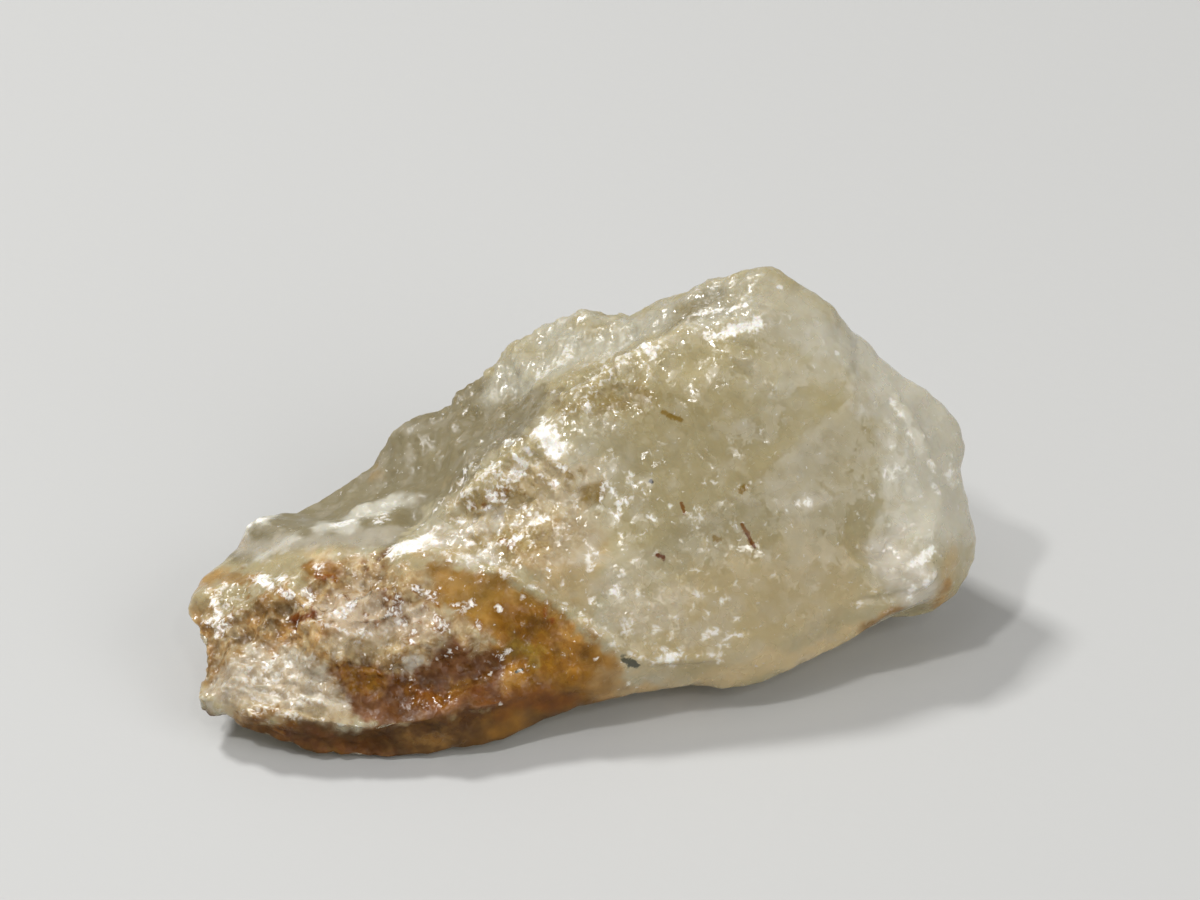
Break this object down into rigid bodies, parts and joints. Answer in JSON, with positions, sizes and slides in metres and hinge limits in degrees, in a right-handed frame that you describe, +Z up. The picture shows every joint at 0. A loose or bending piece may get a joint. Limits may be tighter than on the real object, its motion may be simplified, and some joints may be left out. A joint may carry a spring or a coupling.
{
  "type": "herderite crystal",
  "caption": "Rough natural crystal fragment: a cloudy wedge with a smooth window face, broken ridges and a stained low lobe, resting on a flat break.",
  "frame": {"origin": "under the middle of the stone's bounding box, on the flat break that it rests on", "axes": "+X along the stone, from the stained lobe to the high end; -Y to the front, which the window face looks to; +Z up"},
  "size_m": [0.022, 0.0124, 0.01],
  "materials": {
    "cloudy_herderite": "glassy, cloudy and see-through where thin, with brown and orange stains on the low lobe"
  },
  "bodies": {
    "root": {"herderite_crystal": "cloudy_herderite"}
  },
  "joints": []
}
